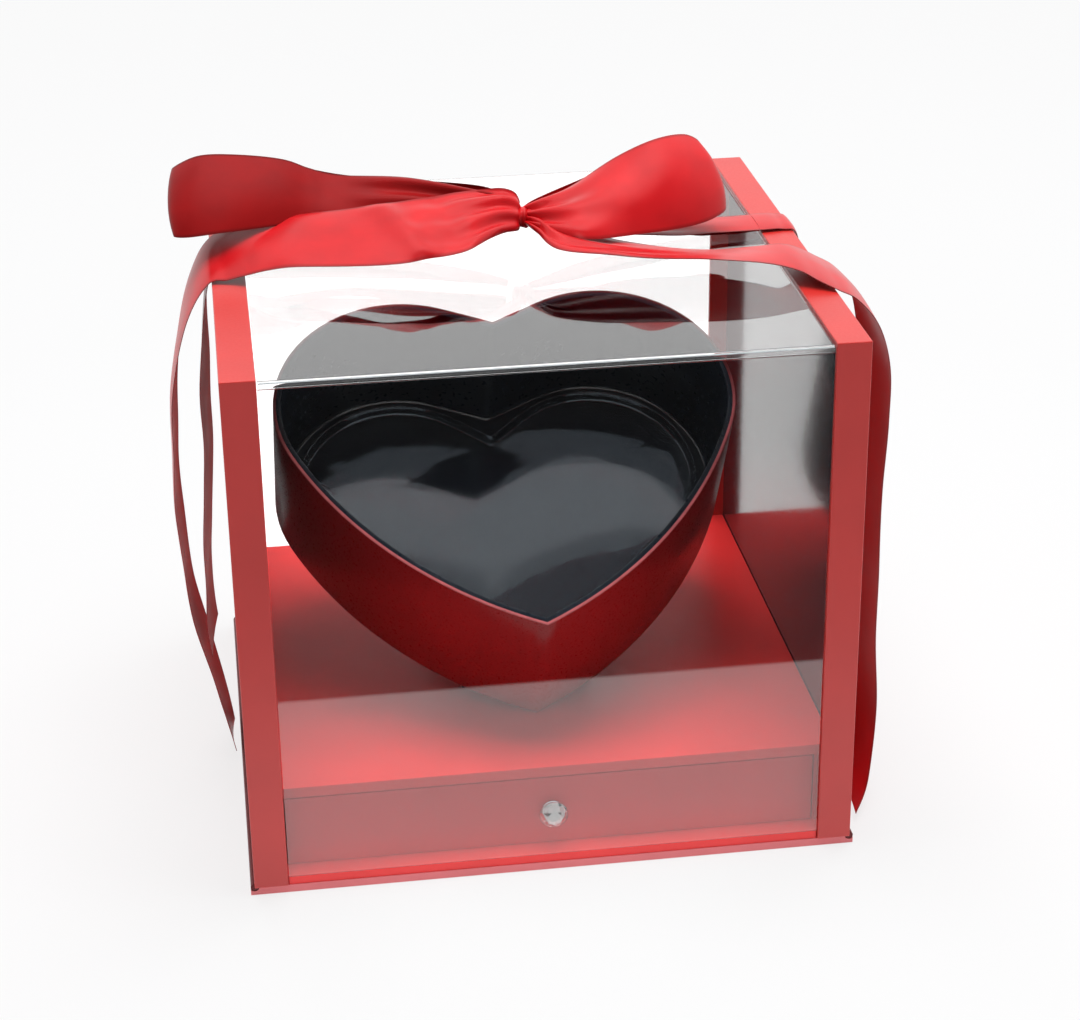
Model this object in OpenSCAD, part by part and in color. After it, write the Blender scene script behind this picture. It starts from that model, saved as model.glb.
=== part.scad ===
// Gift box with a clear folded window, a drawer and a tilted heart tray, tied with a ribbon bow.
// Millimetres. X runs to the right, Y to the back and Z up, from the middle of the base's underside.

/* [Box] */
// Overall width across the two side caps
box_w = 220; // [200:1:250]
// Overall depth
box_d = 213; // [205:1:250]
// Height to the top of the side caps
box_h = 200; // [195:1:240]
// Thickness of the base sheet
sheet_t = 3; // [2.5:0.5:5]
// Thickness of the board laid on the base sheet
base_board_t = 3; // [2:0.5:5]
// How far the base sheet's front and back edges stand behind the caps' faces
sheet_inset = 1; // [0.5:0.5:4]
// Gap that is left wherever one piece seats on another
seat_gap = 0.2; // [0.1:0.05:0.3]

/* [Side caps] */
// Thickness of a cap's side board
cap_board_t = 4; // [3:0.5:5]
// Width of a cap's rim, seen from the front
cap_rim_w = 12.3; // [11:0.1:16]
// Thickness of the rim's wall
cap_rim_t = 2.5; // [1.5:0.5:4]
// Thickness of the dark lining sheet inside a cap
lining_t = 0.8; // [0.5:0.1:1.5]
// Radius of the rolled cloth hinge at a cap's foot
hinge_r = 1.4; // [1:0.1:1.6]

/* [Clear window] */
// Thickness of the clear sheet
pane_t = 0.5; // [0.3:0.1:0.8]
// Outer radius of the sheet's folds
fold_r = 2; // [1.5:0.5:4]
// How far the top pane lies below the caps' top
window_drop = 1.6; // [1:0.1:3]
// How far the front and rear panes stand behind the caps' faces
pane_setback = 1.4; // [1:0.1:2.5]
// Gap between a pane's side edge and a cap's rim
pane_side_gap = 0.3; // [0.2:0.1:1]

/* [Drawer case] */
// Inner height of the drawer's bay
bay_h = 28; // [24:1:36]
// Thickness of the platform board over the drawer
platform_t = 4; // [3:0.5:6]
// How far the case's front stands behind the caps' faces
case_setback = 10; // [9:0.5:14]
// How far the case's back stands in front of the caps' rear faces
case_back_gap = 2.6; // [2.4:0.1:6]
// Wall of the folded cheeks beside the drawer
cheek_wall_t = 2; // [1.5:0.25:2.5]
// Thickness of the case's back wall
case_back_t = 2; // [1.5:0.5:4]

/* [Drawer] */
// Gap round the drawer
drawer_gap = 0.5; // [0.3:0.1:1]
// Gap under the drawer's bottom
drawer_foot_gap = 0.3; // [0.2:0.1:0.8]
// Thickness of the drawer's front board
drawer_front_t = 4; // [3:0.5:5]
// Thickness of the drawer's other walls and of its bottom
drawer_wall_t = 2; // [1.5:0.25:3]
// Gap between the drawer's back and the case's back wall
drawer_back_gap = 8.4; // [1:0.2:40]
// Height that the drawer's walls stay below its front board's top
drawer_wall_drop = 3; // [1:0.5:6]
// Thickness of the drawer's lining card
drawer_lining_t = 0.8; // [0.5:0.1:1.5]

/* [Knob] */
// Diameter of the crystal across its girdle
crystal_d = 10.7; // [9:0.1:14]
// Length of the crystal in front of its collar
crystal_l = 5; // [4:0.25:5.5]
// Diameter of the metal collar
collar_d = 8; // [6:0.5:10]
// Thickness of the metal collar
collar_t = 1.5; // [1:0.25:2]
// Diameter of the screw
screw_d = 3; // [2.5:0.5:4]
// Gap round the screw in the front board
screw_gap = 0.1; // [0.05:0.05:0.3]
// Thickness of the nut behind the front board
nut_t = 2; // [1.5:0.25:3]
// Number of flat sides round the crystal
crystal_sides = 8; // [6:1:12]

/* [Heart tray] */
// Radius of each lobe
lobe_r = 50; // [44:0.5:52]
// Distance of each lobe's centre from the middle line
lobe_x = 39; // [34:0.5:42]
// Distance of the lobes' centres from the front tip
lobe_s = 105; // [98:0.5:108]
// Radius of the long sides that run to the front tip
flank_r = 167; // [150:1:220]
// Angle on the lobe where the straight run to the cleft starts
lobe_end = 114; // [106:1:120]
// Depth of the heart tray from its mouth to its underside
heart_depth = 60; // [54:1:62]
// Thickness of the heart's wall
heart_wall_t = 2.5; // [2:0.25:3.5]
// Thickness of the dark lining in the heart
heart_lining_t = 0.8; // [0.5:0.1:1.5]
// How far the lining stays below the heart's mouth
lining_drop = 0.8; // [0.4:0.2:3]
// Thickness of the heart's floor board
heart_floor_t = 2.4; // [2:0.2:4]
// Tilt of the heart towards the front
heart_tilt = 29; // [25:0.5:30]
// Turn of the heart on the platform, to the left
heart_turn = 1.5; // [-3:0.5:3]
// Distance of the heart's lower tip behind the platform's front edge
tip_back = 39.5; // [37:0.5:44]

/* [Heart stand] */
// Width of the card stand under the heart
stand_w = 50; // [40:1:70]
// Thickness of the stand's card
stand_t = 2; // [1.5:0.25:3]
// Distance up the slope from the tip to the stand's front
stand_s1 = 28; // [22:1:40]
// Distance up the slope from the tip to the stand's back
stand_s2 = 128; // [110:1:134]

/* [Clear liner] */
// How far the liner's rim stays inside the heart's outline
liner_inset = 9; // [8:0.5:16]
// Angle on the liner's lobe where the straight run to its cleft starts
liner_end = 128; // [112:1:132]
// Height of the liner
liner_h = 4; // [3:0.5:20]
// How much narrower the liner's floor is all round than its rim
liner_draft = 1; // [0.5:0.5:4]
// Thickness of the clear liner
liner_t = 0.7; // [0.5:0.1:1]
// Width of the liner's lip
liner_lip = 1.2; // [0.8:0.2:2]

/* [Ribbon] */
// Width of the satin ribbon
ribbon_w = 38; // [30:1:42]
// Thickness of the ribbon's solid
ribbon_t = 0.6; // [0.4:0.1:0.8]
// Gap between the ribbon and what it lies on
ribbon_gap = 0.3; // [0.2:0.1:0.5]
// Radius of the knot
knot_r = 6.5; // [5:0.5:8]
// Length of the knot along the ribbon
knot_l = 10; // [7:0.5:14]
// Gap that the crossing straps leave between the knot and the window
knot_rise = 11; // [8:0.5:14]
// How far the left ribbon bows out from the side
left_bulge = 19; // [10:1:24]
// How far the right ribbon bows out from the side
right_bulge = 22; // [10:1:26]

/* [Hidden] */
$fn = 64;
overrun = 1;
half_w = box_w / 2;
half_d = box_d / 2;
rim_x = half_w - cap_rim_w;
board_x = half_w - cap_board_t;
lining_x = board_x - lining_t;
hinge_z = sheet_t + seat_gap;
deck_z = sheet_t + base_board_t;
pane_x = rim_x - pane_side_gap;
pane_y = half_d - pane_setback;
pane_top = box_h - window_drop;
pane_foot = deck_z + seat_gap;
crease_z = pane_top - fold_r - pane_t / 2 - pane_side_gap;
crease_y = pane_y - pane_t / 2;
case_x = lining_x - pane_side_gap;
case_front = half_d - case_setback;
case_back = half_d - case_back_gap;
bay_top = deck_z + bay_h;
platform_top = bay_top + platform_t;
drawer_x = rim_x - drawer_gap;
drawer_z = deck_z + drawer_foot_gap;
drawer_top = bay_top - drawer_gap;
wall_top = drawer_top - drawer_wall_drop;
drawer_y = -case_front + drawer_front_t;
drawer_l = case_back - case_back_t - drawer_back_gap - drawer_y;
knob_z = (drawer_z + drawer_top) / 2;
tip_y = -case_front + tip_back;
tip_z = platform_top + seat_gap;
floor_n = heart_floor_t + heart_lining_t;
liner_n = floor_n + seat_gap;
card_z = drawer_z + drawer_wall_t;
// Points on each arc of a heart's outline
arc_steps = 15;
// Steps between two stations of a ribbon, and divisions across it
ribbon_steps = 3;
ribbon_across = 3;
// Height of the soft crown across the ribbon, as a share of its width
crown_share = 0.05;
// Places of the knot: shares of the box's half width and half depth
knot_share = [0.035, 0.09];
knot_at = [knot_share[0] * half_w, knot_share[1] * half_d, pane_top + knot_rise + knot_r];
lie_z = box_h + ribbon_gap + ribbon_t / 2;

red = "crimson";
deep_red = "firebrick";
coral = "salmon";
ribbon_red = "red";
black = "dimgray";
clear = "lightblue";
metal = "silver";

// A block given by its lowest and highest corners
module block(low, high) {
    translate(low) cube(high - low);
}

// Base and case

module base_sheet() {
    color(red) difference() {
        block([-half_w - hinge_r, -half_d + sheet_inset, 0],
              [half_w + hinge_r, half_d - sheet_inset, sheet_t]);
        for (side = [-1, 1])
            hinge_bore(side, hinge_r + pane_side_gap, box_d);
    }
}

// A round bar along a cap's hinge line
module hinge_bore(side, r, l) {
    translate([side * half_w, l / 2, hinge_z]) rotate([90, 0, 0]) cylinder(r = r, h = l);
}

module base_board() {
    inner_y = half_d - cap_rim_t - pane_side_gap;
    color(red) {
        difference() {
            block([-case_x, -pane_y, sheet_t], [case_x, pane_y, deck_z]);
            for (side = [-1, 1], end = [-1, 1])
                translate([side * half_w, end * half_d, (sheet_t + deck_z) / 2])
                    cube([2 * (half_w - pane_x), 2 * (half_d - inner_y), base_board_t + overrun], center = true);
        }
    }
}

// A cheek is a board folded double: two walls joined at the front and at the back
module cheek(side) {
    mid = side * (rim_x + case_x) / 2;
    cheek_w = case_x - rim_x;
    color(deep_red) difference() {
        block([mid - cheek_w / 2, -case_front, deck_z], [mid + cheek_w / 2, case_back, bay_top]);
        block([mid - cheek_w / 2 + cheek_wall_t, -case_front + cheek_wall_t, deck_z - overrun],
              [mid + cheek_w / 2 - cheek_wall_t, case_back - cheek_wall_t, bay_top + overrun]);
    }
}

module left_cheek() { cheek(-1); }
module right_cheek() { cheek(1); }

module case_back_wall() {
    color(deep_red)
        block([-rim_x, case_back - case_back_t, deck_z], [rim_x, case_back, bay_top]);
}

module platform_board() {
    color(red) difference() {
        block([-case_x, -case_front, bay_top], [case_x, case_back, platform_top]);
        // The rear corners are cut clear of the caps' rear rims
        for (side = [-1, 1])
            translate([side * half_w, half_d, (bay_top + platform_top) / 2])
                cube([2 * (half_w - pane_x), 2 * (cap_rim_t + pane_side_gap), platform_t + overrun], center = true);
    }
}

// Heart outlines

// Centre of the flank's arc, which starts at the tip and meets the lobe's arc smoothly
function flank_centre(x, s, r, flank) =
    let (d = norm([x, s]), u = [x, s] / d,
         along = (flank * flank - (flank - r) * (flank - r) + d * d) / (2 * d),
         off = sqrt(flank * flank - along * along))
    [along * u[0] - off * u[1], along * u[1] + off * u[0]];

// Points of the right half, from the tip round the lobe to the cleft, drawn in by an inset
function half_heart(x, s, r, flank, last, inset) =
    let (c = flank_centre(x, s, r, flank),
         join = atan2(s - c[1], x - c[0]),
         start = -acos(-c[0] / (flank - inset)),
         run = (x + (r - inset) * cos(last)) / sin(last))
    concat(
        [for (i = [0 : arc_steps - 1]) let (a = start + (join - start) * i / arc_steps)
            c + (flank - inset) * [cos(a), sin(a)]],
        [for (i = [0 : arc_steps]) let (a = join + (last - join) * i / arc_steps)
            [x, s] + (r - inset) * [cos(a), sin(a)]],
        [[0, s + (r - inset) * sin(last) + run * cos(last)]]);

// The whole outline, with the left half mirrored from the right one
function whole_heart(half) =
    concat(half, [for (i = [len(half) - 2 : -1 : 1]) [-half[i][0], half[i][1]]]);

function heart_outline(inset) =
    whole_heart(half_heart(lobe_x, lobe_s, lobe_r, flank_r, lobe_end, inset));

function liner_outline(inset) =
    whole_heart(half_heart(lobe_x, lobe_s, lobe_r, flank_r, liner_end, liner_inset + inset));

// The heart's own frame: its tip at the origin, its middle line along Y, its underside on Z zero
module in_heart() {
    translate([0, tip_y, tip_z]) rotate([0, 0, heart_turn]) rotate([heart_tilt, 0, 0]) children();
}

// The same place, turned but not tilted, for what stands upright under the heart
module on_platform() {
    translate([0, tip_y, tip_z]) rotate([0, 0, heart_turn]) children();
}

module heart_wall() {
    color(deep_red) in_heart() linear_extrude(heart_depth) difference() {
        polygon(heart_outline(0));
        polygon(heart_outline(heart_wall_t));
    }
}

module heart_floor() {
    color(deep_red) in_heart() linear_extrude(heart_floor_t) polygon(heart_outline(heart_wall_t));
}

module heart_lining() {
    color(black) in_heart() {
        translate([0, 0, heart_floor_t]) difference() {
            linear_extrude(heart_depth - heart_floor_t - lining_drop)
                polygon(heart_outline(heart_wall_t));
            translate([0, 0, heart_lining_t]) linear_extrude(heart_depth)
                polygon(heart_outline(heart_wall_t + heart_lining_t));
        }
    }
}

// Profile points of the stand, along the slope and down to the platform
stand_y1 = stand_s1 * cos(heart_tilt);
stand_y2 = stand_s2 * cos(heart_tilt);
slope = tan(heart_tilt);
card_drop = stand_t / cos(heart_tilt);

module upright(width) {
    translate([-width / 2, 0, 0]) rotate([90, 0, 90]) linear_extrude(width) children();
}

module stand_panel() {
    back_y = stand_y2 - stand_t;
    color(red) on_platform() upright(stand_w) polygon([
        [stand_y1, stand_y1 * slope - card_drop], [stand_y1, stand_y1 * slope],
        [stand_y2, stand_y2 * slope], [stand_y2, 0], [back_y, 0], [back_y, back_y * slope - card_drop]
    ]);
}

module stand_gussets() {
    back_y = stand_y2 - stand_t;
    color(red) on_platform() for (side = [-1, 1])
        translate([side * (stand_w - stand_t) / 2, 0, 0]) upright(stand_t) polygon([
            [stand_y1, 0], [stand_y1, stand_y1 * slope - card_drop],
            [back_y, back_y * slope - card_drop], [back_y, 0]
        ]);
}

// Clear window

// A quarter fold of the clear sheet along X, from its top to its outer side
module fold(end) {
    translate([-pane_x, end * (pane_y - fold_r), pane_top - fold_r]) rotate([90, 0, 90])
        linear_extrude(2 * pane_x) intersection() {
            difference() {
                circle(r = fold_r);
                circle(r = fold_r - pane_t);
            }
            translate([end < 0 ? -fold_r : 0, 0]) square(fold_r);
        }
}

module window_top() {
    color(clear) union() {
        block([-pane_x, -pane_y + fold_r, pane_top - pane_t], [pane_x, pane_y - fold_r, pane_top]);
        fold(-1);
    }
}

module window_rear() {
    color(clear) union() {
        fold(1);
        block([-pane_x, pane_y - pane_t, deck_z], [pane_x, pane_y, pane_top - fold_r]);
    }
}

// The front pane hangs from the crease, with a round bead that turns on it
module window_front() {
    color(clear) union() {
        block([-pane_x, -pane_y, pane_foot], [pane_x, -pane_y + pane_t, crease_z]);
        translate([-pane_x, -crease_y, crease_z]) rotate([0, 90, 0]) cylinder(d = pane_t, h = 2 * pane_x);
    }
}

// Clear liner

// A shell whose rings are heart outlines: each ring has an inset and a height
module heart_shell(rings) {
    n = len(liner_outline(0));
    points = [for (ring = rings) for (p = liner_outline(ring[0])) [p[0], p[1], ring[1]]];
    last = len(rings) - 1;
    sides = [for (k = [0 : last - 1]) for (i = [0 : n - 1])
        let (a = k * n + i, b = k * n + (i + 1) % n) each [[a, b + n, b], [a, a + n, b + n]]];
    polyhedron(points, concat(sides, [[for (i = [0 : n - 1]) i]],
                              [[for (i = [n - 1 : -1 : 0]) last * n + i]]));
}

module liner() {
    color(clear) in_heart() translate([0, 0, liner_n]) heart_shell([
        [liner_draft, 0], [liner_draft * liner_t / liner_h, liner_h - liner_t],
        [-liner_lip, liner_h - liner_t], [-liner_lip, liner_h], [liner_t, liner_h],
        [liner_draft + liner_t, liner_t]
    ]);
}

// Drawer

module drawer_front() {
    color(deep_red) difference() {
        block([-drawer_x, -case_front, drawer_z], [drawer_x, drawer_y, drawer_top]);
        translate([0, drawer_y + overrun, knob_z]) rotate([90, 0, 0])
            cylinder(r = screw_d / 2 + screw_gap, h = drawer_front_t + 2 * overrun);
    }
}

module drawer_bottom() {
    color(deep_red) block([-drawer_x, drawer_y, drawer_z], [drawer_x, drawer_y + drawer_l, card_z]);
}

module drawer_side(side) {
    mid = side * (drawer_x - drawer_wall_t / 2);
    color(deep_red) block([mid - drawer_wall_t / 2, drawer_y, card_z],
                          [mid + drawer_wall_t / 2, drawer_y + drawer_l, wall_top]);
}

module drawer_left_wall() { drawer_side(-1); }
module drawer_right_wall() { drawer_side(1); }

module drawer_back_wall() {
    color(deep_red) block([-drawer_x + drawer_wall_t, drawer_y + drawer_l - drawer_wall_t, card_z],
                          [drawer_x - drawer_wall_t, drawer_y + drawer_l, wall_top]);
}

module drawer_lining() {
    color(black) block(
        [-drawer_x + drawer_wall_t + seat_gap, drawer_y + seat_gap, card_z],
        [drawer_x - drawer_wall_t - seat_gap, drawer_y + drawer_l - drawer_wall_t - seat_gap,
         card_z + drawer_lining_t]);
}

// Places a child with its Z axis pointing out of the drawer's front, at the knob
module at_knob() {
    translate([0, -case_front, knob_z]) rotate([90, 0, 0]) children();
}

// The crystal's girdle lies at this share of its length, and its table has this share of its width
girdle_share = 0.45;
table_share = 0.55;

module knob_crystal() {
    girdle = crystal_l * girdle_share;
    color(clear) at_knob() translate([0, 0, collar_t]) union() {
        cylinder(d1 = collar_d, d2 = crystal_d, h = girdle, $fn = crystal_sides);
        translate([0, 0, girdle])
            cylinder(d1 = crystal_d, d2 = crystal_d * table_share, h = crystal_l - girdle, $fn = crystal_sides);
    }
}

module knob_collar() {
    color(metal) at_knob() cylinder(d = collar_d, h = collar_t);
}

module knob_screw() {
    length = drawer_front_t + nut_t;
    color(metal) at_knob() translate([0, 0, -length]) cylinder(d = screw_d, h = length);
}

// The nut is twice as wide as its screw
module knob_nut() {
    color(metal) at_knob() translate([0, 0, -drawer_front_t - nut_t]) difference() {
        cylinder(d = 2 * screw_d, h = nut_t, $fn = 6);
        translate([0, 0, -overrun]) cylinder(r = screw_d / 2 + screw_gap, h = nut_t + 2 * overrun);
    }
}

// Side caps

// A piece drawn for the right cap, kept or mirrored
module for_side(side) {
    if (side > 0) children();
    else mirror([1, 0, 0]) children();
}

module side_board(side) {
    color(deep_red) for_side(side) difference() {
        block([board_x, -half_d, hinge_z], [half_w, half_d, box_h]);
        hinge_bore(1, hinge_r, box_d + overrun);
    }
}

// The rim stands round the front, the top and the back of the side board
module rim(side) {
    color(coral) for_side(side) difference() {
        block([rim_x, -half_d, hinge_z], [board_x, half_d, box_h]);
        block([rim_x - overrun, -half_d + cap_rim_t, hinge_z - overrun],
              [board_x + overrun, half_d - cap_rim_t, box_h - cap_rim_t]);
    }
}

module cap_lining(side) {
    color(black) for_side(side)
        block([lining_x, -half_d + cap_rim_t, hinge_z],
              [board_x, half_d - cap_rim_t, box_h - cap_rim_t]);
}

module hinge_roll(side) {
    color(deep_red) hinge_bore(side, hinge_r, box_d - 2 * sheet_inset);
}

module left_side_board() { side_board(-1); }
module right_side_board() { side_board(1); }
module left_rim() { rim(-1); }
module right_rim() { rim(1); }
module left_lining() { cap_lining(-1); }
module right_lining() { cap_lining(1); }
module left_hinge_roll() { hinge_roll(-1); }
module right_hinge_roll() { hinge_roll(1); }

// Ribbon

// A smooth curve through the stations, each of which is a place, a direction across and a width
function between(a, b, c, d, t) =
    (2 * b + (c - a) * t + (2 * a - 5 * b + 4 * c - d) * t * t + (3 * b - a - 3 * c + d) * t * t * t) / 2;

function smooth(list, steps) =
    let (last = len(list) - 1)
    concat([for (i = [0 : last - 1]) for (k = [0 : steps - 1])
        between(list[max(i - 1, 0)], list[i], list[i + 1], list[min(i + 2, last)], k / steps)],
        [list[last]]);

function place_of(v) = [v[0], v[1], v[2]];
function unit(v) = v / norm(v);

// The points round one cut of the ribbon: along its upper face and back along its lower one
function cut_points(at, run, across, width) =
    let (side = unit(across), up = unit(cross(run, side)))
    concat(
        [for (j = [0 : ribbon_across]) let (t = j / ribbon_across - 0.5)
            at + side * width * t + up * (width * crown_share * (1 - 4 * t * t) + ribbon_t / 2)],
        [for (j = [ribbon_across : -1 : 0]) let (t = j / ribbon_across - 0.5)
            at + side * width * t + up * (width * crown_share * (1 - 4 * t * t) - ribbon_t / 2)]);

// The crown stands on the upper or outer face: facing turns it over where the ribbon runs to the left
module ribbon(stations, facing = 1) {
    path = smooth(stations, ribbon_steps);
    last = len(path) - 1;
    n = 2 * (ribbon_across + 1);
    points = [for (i = [0 : last])
        let (p = path[i], run = place_of(path[min(i + 1, last)]) - place_of(path[max(i - 1, 0)]))
        each cut_points(place_of(p), run, facing * [p[3], p[4], p[5]], p[6])];
    sides = [for (i = [0 : last - 1]) for (k = [0 : n - 1])
        let (a = i * n + k, b = i * n + (k + 1) % n) each [[a, b, b + n], [a, b + n, a + n]]];
    ends = [for (k = [0 : ribbon_across - 1])
        each [[k, n - 1 - k, k + 1], [k + 1, n - 1 - k, n - 2 - k]]];
    far = [for (f = ends) [last * n + f[0], last * n + f[2], last * n + f[1]]];
    color(ribbon_red) polyhedron(points, concat(sides, ends, far));
}

// Stations over the top: shares of half the box's width and depth, of the knot's rise for the
// height over the caps, and of the ribbon's width. The three in the middle point across.
function over_top(rows) = [for (r = rows)
    [r[0] * half_w, r[1] * half_d, box_h + r[2] * knot_rise, r[3], r[4], r[5], r[6] * ribbon_w]];

// Stations down a side: shares of the bulge, of half the box's depth and of its height
function down_side(side, bulge, rows) = [for (r = rows)
    [side * (half_w + hinge_r + r[0] * bulge), r[1] * half_d, r[2] * box_h,
     side * r[3], r[4], r[5], r[6] * ribbon_w]];

// The ribbon comes down on a cap's top between its rim's inner edge and its outer one.
// The heights are shares of the knot's rise.
function over_cap(side, y_share, w_share, heights) =
    let (xs = [rim_x + 2 * ribbon_gap, board_x, half_w])
    [for (i = [0 : len(xs) - 1])
        [side * xs[i], y_share * half_d, lie_z + heights[i] * knot_rise, 0, 1, 0, w_share * ribbon_w]];

// The last station on the window's side of a cap's rim
function at_rim(side, y_share, w_share, height) =
    [side * (rim_x - ribbon_gap), y_share * half_d, lie_z + height * knot_rise, 0, 1, 0, w_share * ribbon_w];

// The first station at the knot
function at_knot(side, y_share, z_share, w_share, across) =
    concat([knot_at[0] + side * (knot_l / 2 + ribbon_gap), knot_at[1] + y_share * knot_r,
            knot_at[2] + z_share * knot_r], across, [w_share * ribbon_w]);

left_loop_shares = [
    [-0.31, 0.13, 1.70, 0, 0.85, 0.53, 0.62],
    [-0.55, 0.20, 1.68, 0, 0.86, 0.50, 0.72],
    [-0.75, 0.20, 2.10, 0, 0.82, 0.57, 0.84],
    [-0.92, 0.17, 2.24, 0, 0.81, 0.58, 0.94],
    [-1.04, 0.17, 2.20, 0, 0.80, 0.60, 0.96],
    [-1.11, 0.20, 1.95, 0, 0.85, 0.53, 0.84],
    [-1.04, 0.28, 1.92, 0, 0.85, 0.53, 0.80],
    [-0.85, 0.30, 2.02, 0, 0.84, 0.53, 0.80],
    [-0.55, 0.28, 1.60, 0, 0.91, 0.42, 0.68],
    [-0.30, 0.20, 1.64, 0, 0.86, 0.51, 0.50]
];

right_loop_shares = [
    [0.23, -0.03, 1.62, 0, 0.92, 0.38, 0.80],
    [0.39, 0.01, 1.90, 0, 0.83, 0.56, 0.96],
    [0.53, 0.04, 2.12, 0, 0.72, 0.70, 0.98],
    [0.65, 0.10, 2.12, -0.10, 0.72, 0.68, 0.96],
    [0.72, 0.14, 2.05, -0.20, 0.60, 0.76, 0.74],
    [0.64, 0.20, 2.07, -0.20, 0.53, 0.79, 0.66],
    [0.47, 0.15, 1.98, -0.10, 0.61, 0.78, 0.58],
    [0.26, 0.13, 1.66, 0, 0.77, 0.63, 0.40]
];

left_strap_shares = [
    [-0.06, -0.02, 1.52, 0, 0.95, 0.30, 0.66],
    [-0.16, -0.06, 1.56, 0, 0.96, 0.29, 0.94],
    [-0.28, -0.10, 1.50, 0, 0.94, 0.33, 0.94],
    [-0.44, -0.11, 1.38, 0, 0.94, 0.33, 0.92],
    [-0.66, -0.07, 0.98, 0, 0.99, 0.14, 0.86],
    [-0.82, -0.02, 0.64, 0, 1, -0.06, 0.94]
];

left_tail_shares = [
    [-0.10, 0.04, 0.76, 0, 1, 0, 0.40],
    [-0.35, 0.03, 0.44, 0, 1, 0, 0.62],
    [-0.65, 0.02, 0.16, 0, 1, 0, 0.74]
];

right_strap_shares = [
    [0.27, 0.13, 0.66, 0, 1, 0, 0.42],
    [0.53, 0.15, 0.34, 0, 1, 0, 0.52],
    [0.72, 0.18, 0.16, 0, 1, 0, 0.56]
];

right_tail_shares = [
    [0.14, -0.16, 0.84, 0.14, 0.97, -0.17, 0.70],
    [0.36, -0.21, 0.68, 0.12, 0.97, -0.21, 0.84],
    [0.61, -0.27, 0.63, 0.10, 0.97, -0.22, 0.80],
    [0.78, -0.31, 0.66, 0.06, 0.98, -0.10, 0.74]
];

left_strap_side_shares = [
    [0.14, -0.05, 0.985, 0, 1, 0, 0.90],
    [0.56, -0.05, 0.920, 0, 1, 0, 0.84],
    [0.78, -0.02, 0.790, 0, 1, 0, 0.84],
    [0.88, 0.02, 0.650, 0, 1, 0, 0.82],
    [0.88, 0.03, 0.510, 0, 1, 0, 0.80],
    [0.78, 0.04, 0.350, 0, 1, 0, 0.76],
    [0.42, 0.05, 0.170, 0, 1, 0, 0.72],
    [0.20, 0.05, 0.080, 0, 1, 0, 0.70],
    [0.10, 0.05, 0.040, 0, 1, 0, 0.70]
];

left_tail_side_shares = [
    [0.06, 0.02, 0.975, 0, 1, 0, 0.74],
    [0.10, 0.04, 0.800, 0, 1, 0, 0.74],
    [0.15, 0.05, 0.640, 0, 1, 0, 0.76],
    [0.30, 0.06, 0.490, -0.07, 1, 0, 0.80],
    [0.40, 0.07, 0.370, -0.10, 1, 0, 0.80],
    [0.38, 0.07, 0.240, -0.10, 1, 0, 0.74]
];

right_strap_side_shares = [
    [0.08, 0.18, 0.970, 0, 1, 0, 0.56],
    [0.12, 0.18, 0.860, 0, 1, 0, 0.62],
    [0.17, 0.17, 0.700, 0, 1, 0, 0.78],
    [0.20, 0.17, 0.520, 0, 1, 0, 0.86],
    [0.16, 0.16, 0.360, 0, 1, 0, 0.88],
    [0.12, 0.16, 0.250, 0, 1, 0, 0.88]
];

right_tail_side_shares = [
    [0.27, -0.40, 0.986, 0, 1, 0, 0.96],
    [0.62, -0.39, 0.932, -0.04, 1, 0, 0.92],
    [0.79, -0.39, 0.850, -0.10, 1, 0, 0.88],
    [0.79, -0.40, 0.750, -0.10, 1, 0, 0.92],
    [0.71, -0.41, 0.600, -0.11, 1, 0, 0.92],
    [0.70, -0.41, 0.450, -0.16, 1, 0, 0.91],
    [0.68, -0.41, 0.300, -0.19, 1, 0, 0.91],
    [0.64, -0.44, 0.150, -0.26, 1, 0, 0.92],
    [0.46, -0.57, 0.060, -0.18, 1, 0, 0.88],
    [0.30, -0.66, 0.036, 0, 1, 0, 0.84]
];

// The knot is a crowned drum that lies along the ribbon
module bow_knot() {
    crown = knot_r / 5;
    color(ribbon_red) translate(knot_at) rotate([0, 90, 0]) rotate_extrude() polygon([
        [0, -knot_l / 2], [knot_r - 2 * crown, -knot_l / 2], [knot_r - crown, -knot_l / 2 + crown],
        [knot_r, 0], [knot_r - crown, knot_l / 2 - crown], [knot_r - 2 * crown, knot_l / 2], [0, knot_l / 2]
    ]);
}

module bow_left_loop() {
    ribbon(concat([at_knot(-1, -0.15, 0.35, 0.26, [0, 0.42, 0.90])], over_top(left_loop_shares),
                  [at_knot(-1, 0.50, 0.35, 0.26, [0, 0.35, 0.93])]), -1);
}

module bow_right_loop() {
    ribbon(concat([at_knot(1, -0.25, 0.20, 0.26, [0, 0.60, 0.80])], over_top(right_loop_shares),
                  [at_knot(1, 0.50, 0.25, 0.26, [0, 0.35, 0.93])]));
}

module left_strap_top() {
    ribbon(concat([at_knot(-1, -0.70, 0.05, 0.28, [0, 0.42, 0.90])], over_top(left_strap_shares),
                  [at_rim(-1, -0.02, 0.96, 0.44)]), -1);
}

module left_tail_top() {
    ribbon(concat([at_knot(-1, -0.40, -0.85, 0.24, [0, 1, 0])], over_top(left_tail_shares),
                  [at_rim(-1, 0, 0.74, 0)]), -1);
}

module right_strap_top() {
    ribbon(concat([at_knot(1, 0.75, -0.85, 0.24, [0, 1, 0])], over_top(right_strap_shares),
                  [at_rim(1, 0.18, 0.56, 0)]));
}

module right_tail_top() {
    ribbon(concat([at_knot(1, -0.85, -0.85, 0.24, [0.2, 0.98, 0])], over_top(right_tail_shares),
                  [at_rim(1, -0.34, 0.70, 0.52)]));
}

module left_strap_side() {
    ribbon(concat(over_cap(-1, -0.02, 0.96, [0.44, 0.32, 0.17]),
                  down_side(-1, left_bulge, left_strap_side_shares)), -1);
}

module left_tail_side() {
    ribbon(concat(over_cap(-1, 0, 0.74, [0, 0, 0]), down_side(-1, left_bulge, left_tail_side_shares)), -1);
}

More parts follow.
